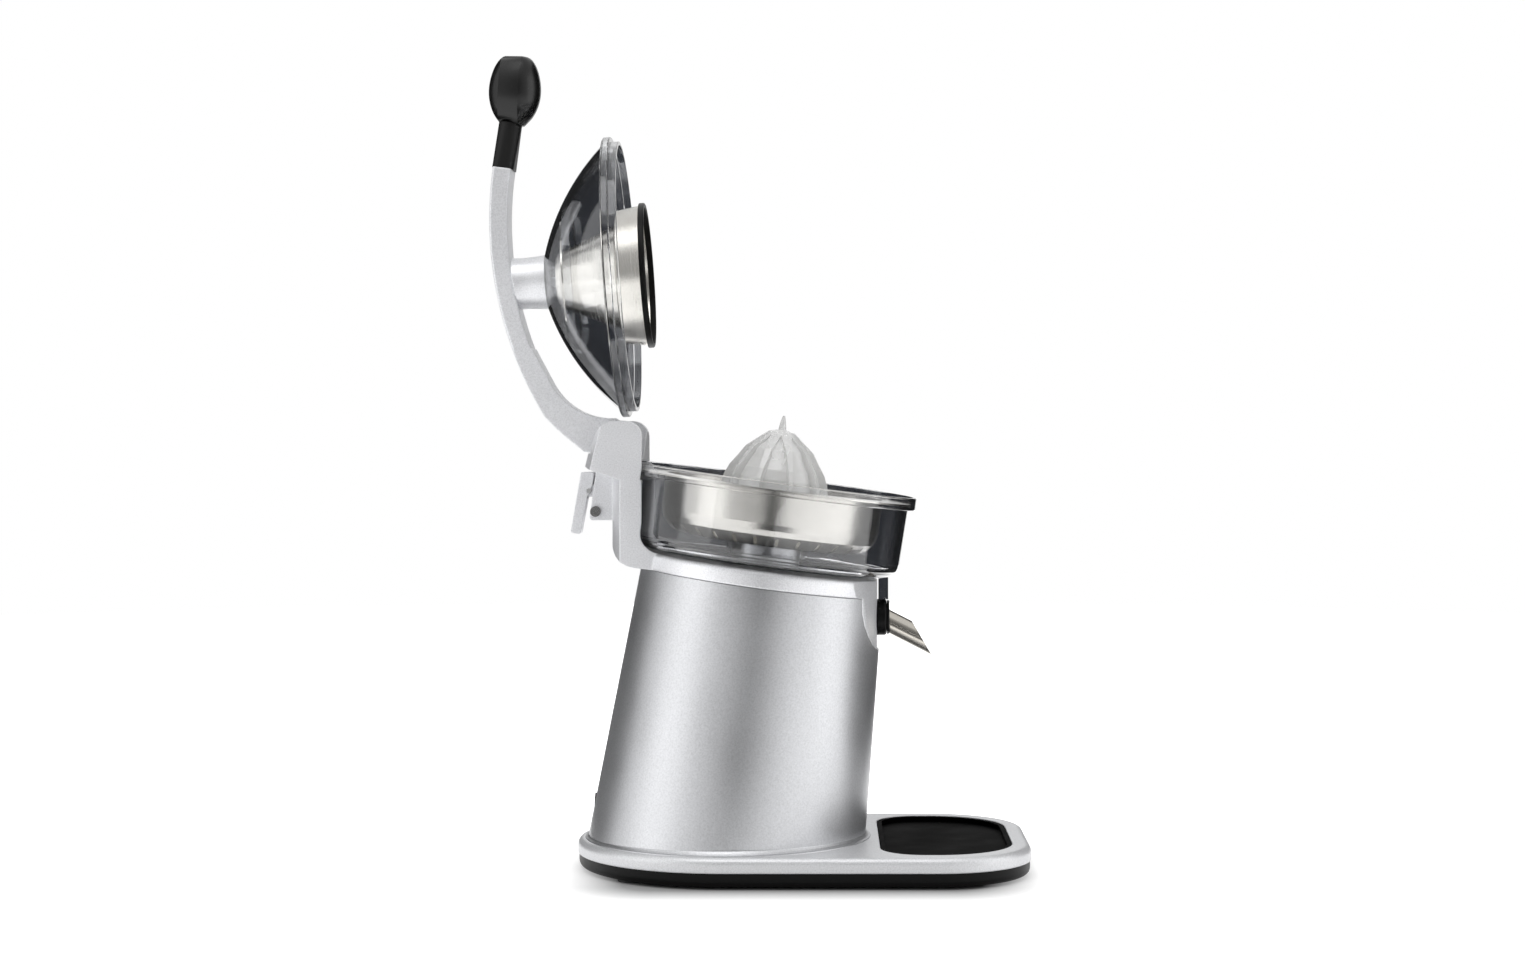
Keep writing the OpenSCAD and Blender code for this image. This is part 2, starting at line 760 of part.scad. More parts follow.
// Frame
module front_barrel() {
    translate([shield_x - shield_curve, 0, 0]) cylinder(h = span, r = shield_curve, $fn = 2 * $fn);
}
module crown(x, z, lean, r) {
    translate([x, 0, z]) rotate([0, lean, 0]) translate([r, 0, -span]) cylinder(h = 2 * span, r = r);
}
module deck_and_shield() intersection() {
    union() {
        leaning() {
            rotate_extrude() polygon(rounded([[0, house_h, 0], [deck_r, house_h, over],
                [deck_r, deck_top, deck_edge_r], [0, deck_top, 0]]));
            disc(boss_r, house_h + over, boss_top);
        }
        intersection() {
            lean_cone(0, house_h / 2, house_h + over);
            shield_prism(0);
        }
    }
    front_barrel();
}
// Height above the table of a point at x on the level that leans with the deck
function level_z(x, z) = out_z((x + axis_back - z * sin(tilt)) / cos(tilt), z);
module column_outline() {
    back = column_back - over;
    foot_x = out_x(-foot_in, house_h);
    polygon(rounded([[column_front, column_top, column_corner_r], [back, column_top, column_corner_r],
        [back, level_z(back, house_h), column_foot_r], [foot_x, out_z(-foot_in, house_h), 0],
        [foot_x, level_z(foot_x, deck_top + recess_corner_r), 0],
        [column_front, level_z(column_front, deck_top + recess_corner_r), 0]]));
}
module lobe_outline() polygon(rounded([[column_mid, column_top, 0], [column_mid, lobe_join_z, 0],
    [lobe_join_x, lobe_join_z, 0], [lobe_back - over, lobe_low, lobe_corner_r],
    [lobe_top_back - lobe_crown_out, column_top - lobe_crown_drop, 0],
    [lobe_top_back + lobe_crown_in, column_top, lobe_crown_r]]));
module column() difference() {
    union() {
        intersection() {
            side(column_half_w) column_outline();
            crown(column_back, 0, 0, column_curve);
        }
        intersection() {
            side(column_half_w) lobe_outline();
            crown(lobe_back, lobe_low, lobe_lean, lobe_curve);
        }
    }
    side(slot_half_w) polygon([[lobe_back - over, stop_top], [stop_front, stop_top],
        [stop_front, slot_floor], [span, slot_floor], [span, column_top + over],
        [lobe_back - over, column_top + over]]);
    leaning() rotate_extrude() polygon(rounded([[0, deck_top, 0],
        [bowl_r + recess_gap, deck_top, recess_corner_r], [bowl_r + recess_gap, lip_z0 - recess_step, 0],
        [lip_r + recess_lip_gap, lip_z0 - recess_step, 0], [lip_r + recess_lip_gap, hinge_up + span, 0],
        [0, hinge_up + span, 0]]));
}
module lug() {
    side(lug_half_w) polygon(rounded([[column_back + over, lug_high, 0], [column_back + over, lug_low, 0],
        [latch_x + lug_back, lug_low, lug_corner_r], [latch_x + lug_top_back, lug_high, 0]]));
    side(latch_fork_half_w - rest_gap) polygon(rounded([[latch_x + lug_top_back, latch_z - latch_eye_r, 0],
        [latch_x - latch_eye_r, latch_z - latch_eye_r, latch_eye_r - sliver],
        [latch_x - latch_eye_r, latch_z + latch_eye_r, latch_eye_r - sliver],
        [latch_x + lug_top_back, latch_z + latch_eye_r, 0]]));
}
module frame() color("lightgray") difference() {
    union() {
        difference() {
            deck_and_shield();
            lean_cone(-shield_t, house_h / 2 - over, house_h);
        }
        leaning() disc(lower_boss_r, bush_z0, house_h + over);
        column();
        lug();
    }
    leaning() {
        tube(pocket_r0, pocket_r1, house_h - over, house_h + pocket_h);
        disc(bush_r + fit, bush_z0 - over, bush_z0 + bush_len);
        disc(lower_cavity_r, bush_z0 + bush_len - fit, house_h);
        disc(collar_space_r, house_h - over, top_bush_z0);
        disc(top_bush_r + fit, top_bush_z0 - over, top_bush_z0 + top_bush_len);
        disc(seal_r + fit, top_bush_z0 + top_bush_len, boss_top + over);
    }
    cross_bar(hinge_x, hinge_z, pin_r + fit, pin_margin - column_half_w, column_half_w + over);
    cross_bar(hinge_x, hinge_z, cap_r + fit, column_half_w - pin_margin, column_half_w + over);
    cross_bar(latch_x, latch_z, latch_pin_r + fit, -lug_half_w, lug_half_w);
    cross_bar(lug_screw_x, lug_screw_z, lug_screw_r + fit, -lug_half_w - over, 0);
}

// Hinge pin, latch and small fasteners of the frame
module hinge_pin() color("silver")
    cross_bar(hinge_x, hinge_z, pin_r, pin_margin - column_half_w + rest_gap,
        column_half_w - pin_margin - rest_gap);
module pin_cap() color("lightgray")
    cross_bar(hinge_x, hinge_z, cap_r, column_half_w - pin_margin + fit, column_half_w);
module latch_pin() color("dimgray")
    cross_bar(latch_x, latch_z, latch_pin_r, -latch_half_w, latch_half_w);
module lug_screw() color("silver") {
    difference() {
        cross_bar(lug_screw_x, lug_screw_z, lug_head_r, -lug_half_w - lug_head_h, -lug_half_w);
        for (a = [0, 90]) translate([lug_screw_x, -lug_half_w - lug_head_h, lug_screw_z]) rotate([0, a, 0])
            cube([lug_head_r, lug_head_h, lug_head_r / 4], center = true);
    }
    cross_bar(lug_screw_x, lug_screw_z, lug_screw_r, -lug_half_w, -over);
}
module latch_lever() color("gainsboro") difference() {
    side(latch_half_w) polygon(rounded([for (p = latch_shares)
        [latch_x + p.x * latch_len, latch_z + p.y * latch_len, p.z * latch_len]]));
    cross_bar(latch_x, latch_z, latch_room_r, -latch_fork_half_w, latch_fork_half_w);
    cross_bar(latch_x, latch_z, latch_pin_r + run_gap, -latch_half_w - over, latch_half_w + over);
}

// Lever arm
module arm_outline() difference() {
    intersection() {
        polygon(rounded(concat([[sliver - hub_r, 0, 0]], [for (p = root_shares) arm_top_z * p],
            [[hub_r, 0, 0]])));
        translate([arm_cx, arm_cz]) circle(r = arm_r, $fn = 4 * $fn);
    }
    translate([root_bow_x, root_bow_z]) circle(r = root_bow_r);
}
module arm_bar() {
    half = arm_w / 2;
    inner = arm_r - arm_t;
    translate([arm_cx, 0, arm_cz]) rotate([90, 0, 0]) rotate([0, 0, arm_a0])
        rotate_extrude(angle = arm_a1 - arm_a0, $fn = 4 * $fn) polygon(rounded([
            [inner, -half, arm_edge_r], [arm_r, -half, arm_edge_r],
            [arm_r, half, arm_edge_r], [inner, half, arm_edge_r]]));
}
module arm() color("lightgray") lever_frame() difference() {
    union() {
        arm_bar();
        side(arm_w / 2) arm_outline();
        cross_bar(0, 0, hub_r, arm_hub_gap - slot_half_w, slot_half_w - arm_hub_gap);
    }
    cross_bar(0, 0, pin_r + bush_wall + fit, -slot_half_w, slot_half_w);
    translate([hinge_back, 0, stem_z]) cylinder(h = bolt_top_z - stem_z + over, r = bolt_r + fit);
}
module arm_bushes() color("goldenrod") lever_frame() for (s = [-1, 1]) difference() {
    cross_bar(0, 0, pin_r + bush_wall, min(s, 0) * (slot_half_w - arm_hub_gap) + max(s, 0) * over,
        max(s, 0) * (slot_half_w - arm_hub_gap) + min(s, 0) * over);
    cross_bar(0, 0, pin_r + run_gap, -slot_half_w, slot_half_w);
}
module stem() color("gainsboro") dome_axis() difference() {
    intersection() {
        rotate_extrude() polygon(rounded([[0, stem_z, 0], [stem_r, stem_z, over],
            [stem_waist_share * stem_r, stem_z + stem_r, 4 * stem_r],
            [stem_top_share * stem_r, stem_z + 2 * stem_r, 0], [0, stem_z + 2 * stem_r, 0]]));
        translate([arm_cx - hinge_back, span, arm_cz]) rotate([90, 0, 0])
            cylinder(h = 2 * span, r = arm_r - arm_t - fit, $fn = 4 * $fn);
    }
    disc(bolt_r + fit, stem_z - over, bolt_top_z + over);
}
module stem_bolt() color("silver") dome_axis() {
    disc(bolt_r, cup_top_z - sheet - bolt_head_h, bolt_top_z - rest_gap);
    disc(bolt_head_r, cup_top_z - sheet - bolt_head_h, cup_top_z - sheet - fit);
}
module grip_frame() {
    lever_frame() translate([arm_end_x, 0, arm_end_z]) rotate([0, grip_dip, 0]) rotate([0, 90, 0]) children();
}
module arm_grip() color("black") grip_frame() hull() {
    translate([0, 0, fit]) linear_extrude(sliver, $fn = hull_sides / 2) polygon(rounded([
        [-grip_t / 2, -grip_w / 2, grip_edge_r], [grip_t / 2, -grip_w / 2, grip_edge_r],
        [grip_t / 2, grip_w / 2, grip_edge_r], [-grip_t / 2, grip_w / 2, grip_edge_r]]));
    translate([0, 0, grip_len]) cylinder(h = sliver, r = neck_r, $fn = hull_sides / 2);
}
module knob() color("black") grip_frame() difference() {
    translate([knob_shift, 0, grip_len - knob_sink]) rotate([0, knob_dip - grip_dip, 0])
        rotate_extrude() polygon(concat(
        [[0, -over], [knob_shares[0].x * knob_r, -over]],
        [for (p = knob_shares) [p.x * knob_r, p.y * knob_len]], [[0, knob_len]]));
    below(grip_len + 2 * sliver);
}

// Splash dome and press cup
module dome_cap() difference() {
    intersection() {
        translate([-dome_bow_out, dome_bow_z]) circle(r = dome_bow_r, $fn = 4 * $fn);
        translate([stem_r + fit - clear_wall, flange_z1 - over])
            square([dome_edge_r - stem_r + clear_wall, 2 * dome_top_z]);
    }
    translate([-dome_bow_out, dome_bow_z]) circle(r = dome_bow_r - clear_wall, $fn = 4 * $fn);
    translate([0, stem_z]) square([stem_r + fit, dome_top_z]);
}
module dome() color("whitesmoke", 0.4) dome_axis() rotate_extrude($fn = 2 * $fn) {
    dome_cap();
    translate([bolt_r + 2 * fit, stem_z - seat_t - fit]) square([seat_r - bolt_r, seat_t]);
    translate([bolt_r + 2 * fit, cup_top_z + fit]) square([spacer_r - bolt_r, stem_z - cup_top_z - seat_t]);
    polygon(rounded([[dome_skirt_r - clear_wall, flange_z1, 0], [dome_skirt_r - clear_wall, dome_skirt_z, 0],
        [dome_skirt_r, dome_skirt_z, skirt_corner_r], [dome_skirt_r, flange_z0, 0],
        [flange_r, flange_z0, over],
        [flange_r, flange_z1, over]]));
    translate([rib_r - rib_t / 2, rib_z]) square([rib_t, dome_bow_z - rib_z
        + sqrt(pow(dome_bow_r - clear_wall, 2) - pow(rib_r + dome_bow_out, 2)) + over / 2]);
}
module press_cup() color("lightsteelblue") dome_axis() rotate_extrude($fn = 2 * $fn) polygon([
    [bolt_r + 2 * fit, cup_top_z], [cup_top_r, cup_top_z], [cup_neck_r, cup_neck_z],
    [cup_step_r, cup_step_z], [cup_mouth_r, cup_low_z], [cup_mouth_r - sheet, cup_low_z],
    [cup_step_r - sheet, cup_step_z - sheet], [cup_neck_r - sheet, cup_neck_z - sheet],
    [cup_top_r - sheet, cup_top_z - sheet], [bolt_r + 2 * fit, cup_top_z - sheet]]);
module cup_ring() color("black") dome_axis() rotate_extrude($fn = 2 * $fn) polygon(rounded([
    [ring_r - ring_wall, ring_low_z, ring_inner_r], [ring_r, ring_low_z, ring_edge_r],
    [ring_r, cup_low_z - fit, ring_back_r], [ring_r - ring_wall, cup_low_z - fit, ring_back_r]]));

// Bowl, strainer and reamer
module bowl_outside() polygon(rounded([[0, bowl_z0, 0], [bowl_floor_r, bowl_z0, bowl_corner_r],
    [bowl_r, lip_z0, 0], [lip_r, lip_z0, over], [lip_r, bowl_top, over], [0, bowl_top, 0]]));
module bowl_inside() polygon(rounded([[0, bowl_z0 + clear_wall, 0],
    [bowl_floor_r - clear_wall, bowl_z0 + clear_wall, bowl_corner_r - clear_wall],
    [bowl_r - clear_wall, lip_z0 + clear_wall, 0], [lip_r - clear_wall, lip_z0 + clear_wall, 0],
    [lip_r - clear_wall, bowl_top + over, 0], [0, bowl_top + over, 0]]));
module bowl_hat() {
    square([hat_r + clear_wall, boss_top + hat_gap + clear_wall]);
    square([sleeve_r0 + clear_wall, boss_top + hat_gap + clear_wall + sleeve_h]);
}
module chute(inset, z0, z1) {
    translate([chute_x + inset, inset - chute_half_w, z0])
        cube([chute_depth - 2 * inset, 2 * (chute_half_w - inset), z1 - z0]);
}
module bowl() color("whitesmoke", 0.4) difference() {
    union() {
        leaning() rotate_extrude($fn = 2 * $fn) bowl_outside();
        chute(0, chute_z, chute_z + chute_h);
    }
    leaning() rotate_extrude($fn = 2 * $fn) difference() {
        bowl_inside();
        bowl_hat();
    }
    leaning() disc(hat_r, bowl_z0 - over, boss_top + hat_gap);
    leaning() disc(sleeve_r0, bowl_z0, bowl_top);
    chute(chute_wall, chute_z - over, chute_z + chute_h);
}
module basket_outside() polygon(rounded([[0, basket_z0, 0],
    [strainer_r - basket_taper, basket_z0, basket_corner_r], [strainer_r, basket_z1, 0],
    [lip_r - clear_wall - basket_lap, basket_z1, 0], [lip_r - clear_wall - basket_lap, basket_z1 + sheet, 0],
    [0, basket_z1 + sheet, 0]]));
module basket_inside() polygon(rounded([[0, basket_z0 + sheet, 0],
    [strainer_r - basket_taper - sheet, basket_z0 + sheet, basket_corner_r - sheet],
    [strainer_r - sheet, basket_z1, 0], [strainer_r - sheet, basket_z1 + 2 * sheet, 0],
    [0, basket_z1 + 2 * sheet, 0]]));
module strainer() color("silver") leaning() difference() {
    rotate_extrude($fn = 2 * $fn) difference() {
        basket_outside();
        difference() {
            basket_inside();
            square([basket_hat_r + sheet, basket_hat_z + sheet]);
        }
        square([basket_hat_r, basket_hat_z]);
        square([basket_hole_r, basket_z1]);
    }
    for (i = [0 : strainer_slots - 1]) rotate([0, 0, 360 * i / strainer_slots])
        translate([slot_r0_share * strainer_r, -slot_w / 2, basket_z0 - over])
            cube([(slot_r1_share - slot_r0_share) * strainer_r, slot_w, slot_h]);
}
module reamer_outline(share) polygon(concat([[0, 0]],
    [for (p = reamer_shares) [p.x * share * reamer_r, p.y * reamer_h]], [[0, reamer_h]]));
module reamer_rib() {
    translate([0, 0, -over]) linear_extrude(reamer_h + 2 * over) polygon([[0, -rib_root_w / 2],
        [reamer_r + over, -rib_tip_w / 2], [reamer_r + over, rib_tip_w / 2], [0, rib_root_w / 2]]);
}
module drive_bore(z0, z1, gap) {
    translate([0, 0, z0]) linear_extrude(z1 - z0) intersection() {
        circle(r = spindle_r + gap);
        square([2 * (flat_half + gap), 4 * spindle_r], center = true);
    }
}
module reamer() color("ghostwhite") leaning() difference() {
    union() {
        translate([0, 0, reamer_z0]) difference() {
            union() {
                rotate_extrude() reamer_outline(core_share);
                intersection() {
                    rotate_extrude() reamer_outline(1);
                    for (i = [0 : reamer_ribs - 1]) rotate([0, 0, 360 * i / reamer_ribs]) reamer_rib();
                }
            }
            translate([0, 0, -over]) rotate_extrude() polygon(concat([[0, 0]],
                [for (p = hollow_shares) [p.x * reamer_r, p.y * reamer_h]],
                [[reamer_hub_r, hollow_shares[2].y * reamer_h + over],
                [0, hollow_shares[2].y * reamer_h + over]]));
        }
        disc(reamer_hub_r, reamer_hub_z, reamer_z0 + hollow_shares[2].y * reamer_h + 2 * over);
    }
    drive_bore(reamer_hub_z - over, spindle_top + rest_gap, run_gap);
}

// Spout
module spout_collar() color("black") difference() {
    spout_axis() rotate_extrude() polygon(rounded([[0, fit, 0], [collar_r, fit, 0],
        [collar_r, collar_len, collar_edge_r], [barrel_r + run_gap, collar_len, 0],
        [barrel_r + run_gap, collar_back_t, 0], [0, collar_back_t, 0]]));
    translate([chute_x + chute_depth / 2, 0, spout_z]) cylinder(h = 2 * collar_r, r = inlet_r - over);
}
module spout_barrel() color("black") difference() {
    spout_axis() difference() {
        union() {
            disc(barrel_r, collar_back_t + rest_gap, collar_len + rest_gap + fit);
            rotate_extrude() polygon(rounded([[0, collar_len + rest_gap, 0],
                [barrel_lip_r, collar_len + rest_gap, 0],
                [barrel_lip_r, collar_len + rest_gap + barrel_lip_t, barrel_edge_r],
                [0, collar_len + rest_gap + barrel_lip_t, 0]]));
        }
        disc(barrel_bore_r, collar_back_t + 3 * rest_gap, 2 * collar_len);
    }
    translate([chute_x + chute_depth / 2, 0, spout_z]) cylinder(h = 2 * collar_r, r = inlet_r - over);
}
module spout_tube() color("silver") difference() {
    spout_run() intersection() {
        translate([-spout_back, 0, 0]) rotate([0, 90, 0]) difference() {
            cylinder(h = 2 * spout_low_len, r = spout_r);
            translate([0, 0, -over]) cylinder(h = 3 * spout_low_len, r = spout_r - spout_wall);
        }
        side(2 * spout_r) polygon([[-spout_back, spout_r + over],
            [spout_top_len - spout_cut, spout_r + over], [spout_low_len + spout_cut, -spout_r - over],
            [-spout_back, -spout_r - over]]);
    }
    translate([spout_face + fit - span, -span / 2, 0]) cube(span);
}

// Motor and gearbox
module gearbox_plate() color("silver") leaning() difference() {
    disc(plate_r, plate_z0, plate_z0 + plate_t);
    translate([motor_x, motor_y, 0]) disc(bearing_r + over, plate_z0 - over, plate_z0 + plate_t + over);
    for (s = [-1, 1]) motor_screw_place(s)
        disc(motor_screw_r + fit, plate_z0 - over, plate_z0 + plate_t + over);
    translate([idler_x, 0, 0]) disc(idler_pin_r + fit, plate_z0 - over, plate_z0 + plate_t + over);
}
module motor_screw_place(s) {
    a = motor_angle - 90;
    translate([motor_x + s * motor_screw_ring * cos(a), motor_y + s * motor_screw_ring * sin(a), 0])
        children();
}
module gear_posts() color("silver") leaning() {
    for (a = [90, 180, 270]) rotate([0, 0, a]) translate([post_ring, 0, 0])
        disc(post_r, plate_z0 + plate_t, house_h + pocket_h);
}
module motor_axis() {
    leaning() translate([motor_x, motor_y, 0]) children();
}
module motor_can() color("slategray") leaning() difference() {
    translate([motor_x, motor_y, 0]) difference() {
        disc(motor_r, motor_z0, can_top);
        disc(motor_r - can_wall, motor_z0 + can_end_t, can_top - can_end_t);
        disc(bearing_r - over, motor_z0 - over, can_top + over);
        disc(bearing_r + fit, motor_z0 + over, motor_z0 + can_end_t + over);
        disc(bearing_r + fit, can_top - can_end_t - over, can_top - over);
    }
    for (s = [-1, 1]) motor_screw_place(s)
        disc(motor_screw_r + fit, can_top - can_end_t - over, can_top + over);
}
module motor_stator() color("dimgray") motor_axis()
    tube(stator_r0, motor_r - can_wall - fit, stator_z0, stator_z0 + stator_len);
module motor_bearings() color("silver") motor_axis() {
    tube(shaft_r + run_gap, bearing_r, motor_z0 + over + fit, motor_z0 + over + bearing_h);
    tube(shaft_r + run_gap, bearing_r, can_top - over - bearing_h, can_top - over - fit);
}
module motor_screws() color("silver") leaning() for (s = [-1, 1]) motor_screw_place(s) {
    disc(motor_screw_r, can_top - can_end_t, plate_z0 + plate_t + fit);
    disc(motor_head_r, plate_z0 + plate_t + fit, plate_z0 + plate_t + motor_head_h);
}
module motor_rotor() color("darkorange") motor_axis() rotate_extrude() polygon([
    [0, fan_z0], [shaft_r, fan_z0], [shaft_r, motor_z0 + bearing_h + 2 * over],
    [commutator_r, motor_z0 + bearing_h + 2 * over], [commutator_r, stator_z0 - winding_len],
    [winding_r, stator_z0 - winding_len], [winding_r, stator_z0 + rest_gap],
    [armature_r, stator_z0 + rest_gap], [armature_r, stator_z0 + stator_len - rest_gap],
    [winding_r, stator_z0 + stator_len - rest_gap], [winding_r, stator_z0 + stator_len + winding_len / 2],
    [shaft_r, stator_z0 + stator_len + winding_len / 2], [shaft_r, fast_z0 + fast_w + over],
    [0, fast_z0 + fast_w + over]]);
module cooling_fan() color("white") motor_axis() difference() {
    union() {
        disc(fan_r, fan_z0 + fan_h - fan_t, fan_z0 + fan_h);
        disc(fan_hub_r, fan_z0, fan_z0 + fan_h);
        for (i = [0 : fan_blades - 1]) rotate([0, 0, 360 * i / fan_blades])
            translate([fan_hub_r - over, 0, fan_z0]) cube([fan_r - fan_hub_r, fan_t, fan_h]);
    }
    disc(shaft_r + fit, fan_z0 - over, fan_z0 + fan_h + over);
}
module motor_pinion() color("goldenrod") motor_axis() difference() {
    translate([0, 0, fast_z0])
        gear(pinion_teeth, fast_module, fast_w, motor_angle - 180 + 180 / pinion_teeth);
    disc(shaft_r + fit, fast_z0 - over, fast_z0 + fast_w + over);
}
module idler_pin() color("silver") leaning() translate([idler_x, 0, 0])
    disc(idler_pin_r, plate_z0, slow_z0 + slow_pinion_w);
module idler_gear() color("ivory") leaning() translate([idler_x, 0, 0]) difference() {
    union() {
        translate([0, 0, fast_z0]) gear(idler_teeth, fast_module, fast_w, motor_angle);
        translate([0, 0, fast_z0 + fast_w - over])
            gear(small_teeth, slow_module, slow_z0 + slow_pinion_w - fast_z0 - fast_w,
                180 + 180 / small_teeth);
    }
    disc(idler_pin_r + run_gap, fast_z0 - over, slow_z0 + slow_pinion_w + over);
}
module output_gear() color("ivory") leaning() difference() {
    union() {
        translate([0, 0, slow_z0]) gear(output_teeth, slow_module, slow_w, 0);
        disc(shoulder_r, slow_z0 + slow_w - over, slow_z0 + slow_w + shoulder_h);
        disc(gear_hub_r, slow_z0 + slow_w, hub_top);
    }
    drive_bore(slow_z0 - over, hub_top + over, run_gap);
}
module gear_bush() color("goldenrod") leaning()
    tube(gear_hub_r + run_gap, bush_r, bush_z0, bush_z0 + bush_len);
module hub_clip() color("silver") leaning()
    tube(gear_hub_r + fit, clip_r, bush_z0 + bush_len + rest_gap, bush_z0 + bush_len + rest_gap + clip_h);
module spindle() color("silver") leaning() {
    drive_bore(spindle_low, flat_top, 0);
    disc(spindle_r, flat_top, reamer_hub_z - rest_gap);
    disc(spindle_collar_r, spindle_collar_z, spindle_collar_z + spindle_collar_h);
    drive_bore(reamer_hub_z - rest_gap - fit, spindle_top, 0);
}
module spindle_spring() color("silver") leaning()
    tube(spindle_r + run_gap, spindle_r + run_gap + spring_wall, hub_top + fit, spindle_collar_z - fit);
module spindle_bush() color("goldenrod") leaning()
    tube(spindle_r + run_gap, top_bush_r, top_bush_z0, top_bush_z0 + top_bush_len);
module spindle_seal() color("black") leaning()
    tube(spindle_r + run_gap, seal_r, top_bush_z0 + top_bush_len + fit, boss_top);
module switch_body() color("darkred") leaning() difference() {
    translate([-switch_len / 2, -switch_w / 2, plate_z0 + plate_t]) cube([switch_len, switch_w, switch_h]);
    disc(plunger_r + run_gap, spindle_low - rest_gap - switch_h, 2 * plate_z0);
}
module switch_plunger() color("white") leaning()
    disc(plunger_r, spindle_low - rest_gap - switch_h + plunger_room, spindle_low - rest_gap);

base_plate();
base_shell();
rubber_feet();
base_screws();
drip_tray();
motor_housing();
tie_rods();
cord_grommet();
frame();
spout_collar();
spout_barrel();
spout_tube();
gearbox_plate();
gear_posts();
motor_can();
motor_stator();
motor_bearings();
motor_screws();
motor_rotor();
cooling_fan();
motor_pinion();
idler_pin();
idler_gear();
output_gear();
gear_bush();
hub_clip();
spindle();
spindle_spring();
spindle_bush();
spindle_seal();
switch_body();
switch_plunger();
bowl();
strainer();
reamer();
hinge_pin();
pin_cap();
arm();
arm_bushes();
stem();
stem_bolt();
dome();
press_cup();
cup_ring();
arm_grip();
knob();
latch_lever();
latch_pin();
lug_screw();
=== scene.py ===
"""Looks of the electric citrus press: materials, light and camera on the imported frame.

Lengths are in metres, in the frame of the part, unless a name ends in MM, PX or SHARE. The CAD
nodes keep their shapes. Only the knob is swapped, for one with its two flat strips.
"""
import math

import bpy
from mathutils import Matrix, Vector


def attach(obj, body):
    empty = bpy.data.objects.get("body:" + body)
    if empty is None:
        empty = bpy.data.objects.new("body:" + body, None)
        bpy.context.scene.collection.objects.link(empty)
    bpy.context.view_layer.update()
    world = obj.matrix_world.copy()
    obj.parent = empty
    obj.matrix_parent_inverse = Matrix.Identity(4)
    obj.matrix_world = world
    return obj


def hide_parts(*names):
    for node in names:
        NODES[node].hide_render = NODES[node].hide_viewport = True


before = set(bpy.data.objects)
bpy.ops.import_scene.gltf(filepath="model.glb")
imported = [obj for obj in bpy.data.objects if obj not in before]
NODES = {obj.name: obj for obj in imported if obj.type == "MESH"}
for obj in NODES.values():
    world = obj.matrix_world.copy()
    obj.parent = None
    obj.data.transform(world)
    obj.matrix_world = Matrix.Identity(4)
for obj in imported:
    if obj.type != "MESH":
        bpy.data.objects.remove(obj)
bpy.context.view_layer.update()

MM = 0.001
UPRIGHT = math.radians(90)
WHITE = (1, 1, 1, 1)

# Directions of the lines in the metals: the leaning axis of the housing, the bowl and the reamer,
# the axis of the dome and the cup on the open lever, the spout, and the way across the press
TILT_DEGREES = 7.6
TILT = math.radians(TILT_DEGREES)
LEAN_AXIS = Vector((math.sin(TILT), 0.0, math.cos(TILT)))
LEVER_AXIS = Vector((-0.998, 0.0, -0.066))
SPOUT_AXIS = Vector((0.891, 0.0, -0.454))
ACROSS_AXIS = Vector((0.0, 1.0, 0.0))


# Middle value of a noise, and how far from it most of the noise reaches
MIDDLE = 0.5
NOISE_REACH = 0.2


# Shader helpers
class Graph:
    """A node tree, with short calls for the nodes used here."""

    def __init__(self, tree):
        self.tree = tree

    def add(self, kind, **values):
        node = self.tree.nodes.new(kind)
        for key, value in values.items():
            setattr(node, key, value)
        return node

    def link(self, a, b):
        self.tree.links.new(a, b)

    def ranged(self, value, low, high, to_low, to_high):
        node = self.add("ShaderNodeMapRange")
        node.inputs["From Min"].default_value = low
        node.inputs["From Max"].default_value = high
        node.inputs["To Min"].default_value = to_low
        node.inputs["To Max"].default_value = to_high
        self.link(value, node.inputs["Value"])
        return node.outputs["Result"]

    def math(self, op, a, b=0.0):
        node = self.add("ShaderNodeMath", operation=op)
        for socket, value in zip(node.inputs, (a, b)):
            if isinstance(value, (int, float)):
                socket.default_value = value
            else:
                self.link(value, socket)
        return node.outputs["Value"]

    def vector_math(self, op, source, value=(0.0, 0.0, 0.0)):
        node = self.add("ShaderNodeVectorMath", operation=op)
        self.link(source, node.inputs[0])
        node.inputs[1].default_value = value
        return node.outputs

    def background_rays(self):
        """1 for rays that show the background: from the camera, off gloss and through glass."""
        path = self.add("ShaderNodeLightPath")
        total = path.outputs["Is Camera Ray"]
        for key in ("Is Glossy Ray", "Is Transmission Ray"):
            total = self.math("MAXIMUM", total, path.outputs[key])
        return total


